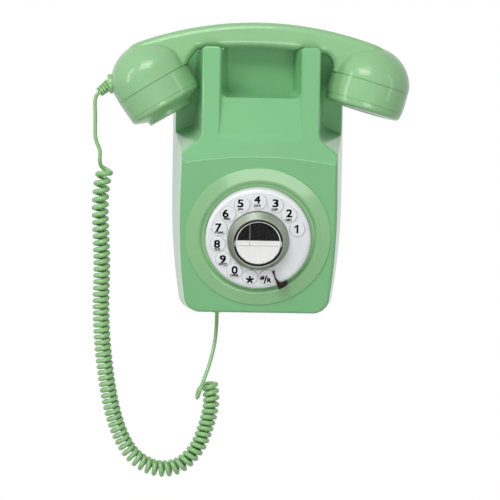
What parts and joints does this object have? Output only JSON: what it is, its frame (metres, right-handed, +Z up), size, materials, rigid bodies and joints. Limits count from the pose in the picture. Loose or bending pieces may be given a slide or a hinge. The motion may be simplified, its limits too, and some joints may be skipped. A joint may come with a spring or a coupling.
{
  "type": "wall telephone",
  "caption": "Push-button wall telephone with a dial-style keypad, a handset resting across the top and a curly handset cord.",
  "frame": {"origin": "in the wall face of the back plate, on the middle line, 106 mm above the case's lowest edge", "axes": "+X to the viewer's right, +Y into the wall, +Z up; the front looks along -Y"},
  "size_m": [0.2426, 0.0977, 0.3552],
  "materials": {
    "green_plastic": "smooth semi-gloss moulded plastic, pastel green",
    "dark_green": "smooth semi-gloss moulded plastic, a shade deeper",
    "white_plastic": "smooth semi-gloss moulded plastic, cool white",
    "black_plastic": "fine matt moulded plastic",
    "hub_metal": "satin metal ring",
    "stop_metal": "dark polished metal",
    "clear_plastic": "clear moulded lens",
    "card": "plain printed card, black above and white below",
    "steel": "plain steel",
    "gong_brass": "spun brass",
    "winding": "lacquered wire winding",
    "board": "glass-fibre circuit board",
    "socket_plastic": "unfilled moulded plastic",
    "soft_rubber": "moulded silicone rubber",
    "cord_green": "smooth soft sheath, green",
    "wire_sheath": "grey sheath",
    "capsule_metal": "pressed can"
  },
  "bodies": {
    "base": {"front_case": "green_plastic", "back_plate": "dark_green", "case_screws": "steel", "dial_bezel": "green_plastic", "dial_frame": "steel", "frame_screws": "steel", "dial_plate": "white_plastic", "keypad_mat": "soft_rubber", "keypad_board": "board", "keypad_screws": "steel", "hub_ring": "hub_metal", "finger_stop": "stop_metal", "main_board": "board", "board_screws": "steel", "main_chip": "black_plastic", "line_transformer": "steel", "ringer_capacitor": "black_plastic", "board_sockets": "socket_plastic", "keypad_cable": "wire_sheath", "ringer_base": "steel", "plate_screws": "steel", "ringer_yoke": "steel", "ringer_coil": "winding", "gong_left": "gong_brass", "gong_right": "gong_brass", "gong_screws": "steel", "clapper_pin": "steel", "hook_bracket": "steel", "hook_spring": "steel", "hook_switch": "black_plastic", "line_socket": "black_plastic", "cord_grommet": "cord_green", "inner_lead": "wire_sheath", "cord_upper_lead": "cord_green", "cord_coil": "cord_green", "cord_lower_lead": "cord_green"},
    "handset": {"handset_shell": "green_plastic", "transmitter_cap": "green_plastic", "receiver_cap": "green_plastic", "microphone_capsule": "capsule_metal", "receiver_capsule": "capsule_metal", "handset_wires": "wire_sheath", "cord_boot": "cord_green"},
    "hook": {"hook_plungers": "green_plastic"},
    "clapper": {"bell_clapper": "steel"},
    "redial": {"redial_button": "black_plastic", "label_card": "card", "label_lens": "clear_plastic"},
    "key_1": {"key_1": "white_plastic"},
    "key_2": {"key_2": "white_plastic"},
    "key_3": {"key_3": "white_plastic"},
    "key_4": {"key_4": "white_plastic"},
    "key_5": {"key_5": "white_plastic"},
    "key_6": {"key_6": "white_plastic"},
    "key_7": {"key_7": "white_plastic"},
    "key_8": {"key_8": "white_plastic"},
    "key_9": {"key_9": "white_plastic"},
    "key_0": {"key_0": "white_plastic"},
    "key_star": {"key_star": "white_plastic"},
    "key_hash": {"key_hash": "white_plastic"}
  },
  "joints": [
    {"name": "handset_lift", "type": "slide", "parent": "base", "child": "handset", "axis": [0, 0, 1], "range_m": [0, 0.06], "deforming": ["cord_upper_lead", "cord_coil", "cord_lower_lead"]},
    {"name": "hook_slide", "type": "slide", "parent": "base", "child": "hook", "axis": [0, 0, 1], "range_m": [0, 0.004], "stiffness_N_per_m": 120, "springref_m": 0.008, "deforming": ["hook_spring"]},
    {"name": "clapper_swing", "type": "hinge", "parent": "base", "child": "clapper", "pos_m": [0, -0.013, -0.047], "axis": [0, 1, 0], "range_deg": [-3, 3]},
    {"name": "redial_press", "type": "slide", "parent": "base", "child": "redial", "axis": [0, 0.9563, 0.2924], "range_m": [0, 0.0015], "stiffness_N_per_m": 800, "deforming": ["keypad_mat"]},
    {"name": "key_1_press", "type": "slide", "parent": "base", "child": "key_1", "axis": [0, 0.9563, 0.2924], "range_m": [0, 0.0015], "stiffness_N_per_m": 800, "deforming": ["keypad_mat"]},
    {"name": "key_2_press", "type": "slide", "parent": "base", "child": "key_2", "axis": [0, 0.9563, 0.2924], "range_m": [0, 0.0015], "stiffness_N_per_m": 800, "deforming": ["keypad_mat"]},
    {"name": "key_3_press", "type": "slide", "parent": "base", "child": "key_3", "axis": [0, 0.9563, 0.2924], "range_m": [0, 0.0015], "stiffness_N_per_m": 800, "deforming": ["keypad_mat"]},
    {"name": "key_4_press", "type": "slide", "parent": "base", "child": "key_4", "axis": [0, 0.9563, 0.2924], "range_m": [0, 0.0015], "stiffness_N_per_m": 800, "deforming": ["keypad_mat"]},
    {"name": "key_5_press", "type": "slide", "parent": "base", "child": "key_5", "axis": [0, 0.9563, 0.2924], "range_m": [0, 0.0015], "stiffness_N_per_m": 800, "deforming": ["keypad_mat"]},
    {"name": "key_6_press", "type": "slide", "parent": "base", "child": "key_6", "axis": [0, 0.9563, 0.2924], "range_m": [0, 0.0015], "stiffness_N_per_m": 800, "deforming": ["keypad_mat"]},
    {"name": "key_7_press", "type": "slide", "parent": "base", "child": "key_7", "axis": [0, 0.9563, 0.2924], "range_m": [0, 0.0015], "stiffness_N_per_m": 800, "deforming": ["keypad_mat"]},
    {"name": "key_8_press", "type": "slide", "parent": "base", "child": "key_8", "axis": [0, 0.9563, 0.2924], "range_m": [0, 0.0015], "stiffness_N_per_m": 800, "deforming": ["keypad_mat"]},
    {"name": "key_9_press", "type": "slide", "parent": "base", "child": "key_9", "axis": [0, 0.9563, 0.2924], "range_m": [0, 0.0015], "stiffness_N_per_m": 800, "deforming": ["keypad_mat"]},
    {"name": "key_0_press", "type": "slide", "parent": "base", "child": "key_0", "axis": [0, 0.9563, 0.2924], "range_m": [0, 0.0015], "stiffness_N_per_m": 800, "deforming": ["keypad_mat"]},
    {"name": "key_star_press", "type": "slide", "parent": "base", "child": "key_star", "axis": [0, 0.9563, 0.2924], "range_m": [0, 0.0015], "stiffness_N_per_m": 800, "deforming": ["keypad_mat"]},
    {"name": "key_hash_press", "type": "slide", "parent": "base", "child": "key_hash", "axis": [0, 0.9563, 0.2924], "range_m": [0, 0.0015], "stiffness_N_per_m": 800, "deforming": ["keypad_mat"]}
  ],
  "couplings": [
    {"joint": "hook_slide", "follows": "handset_lift", "ratio": 0.066666}
  ]
}
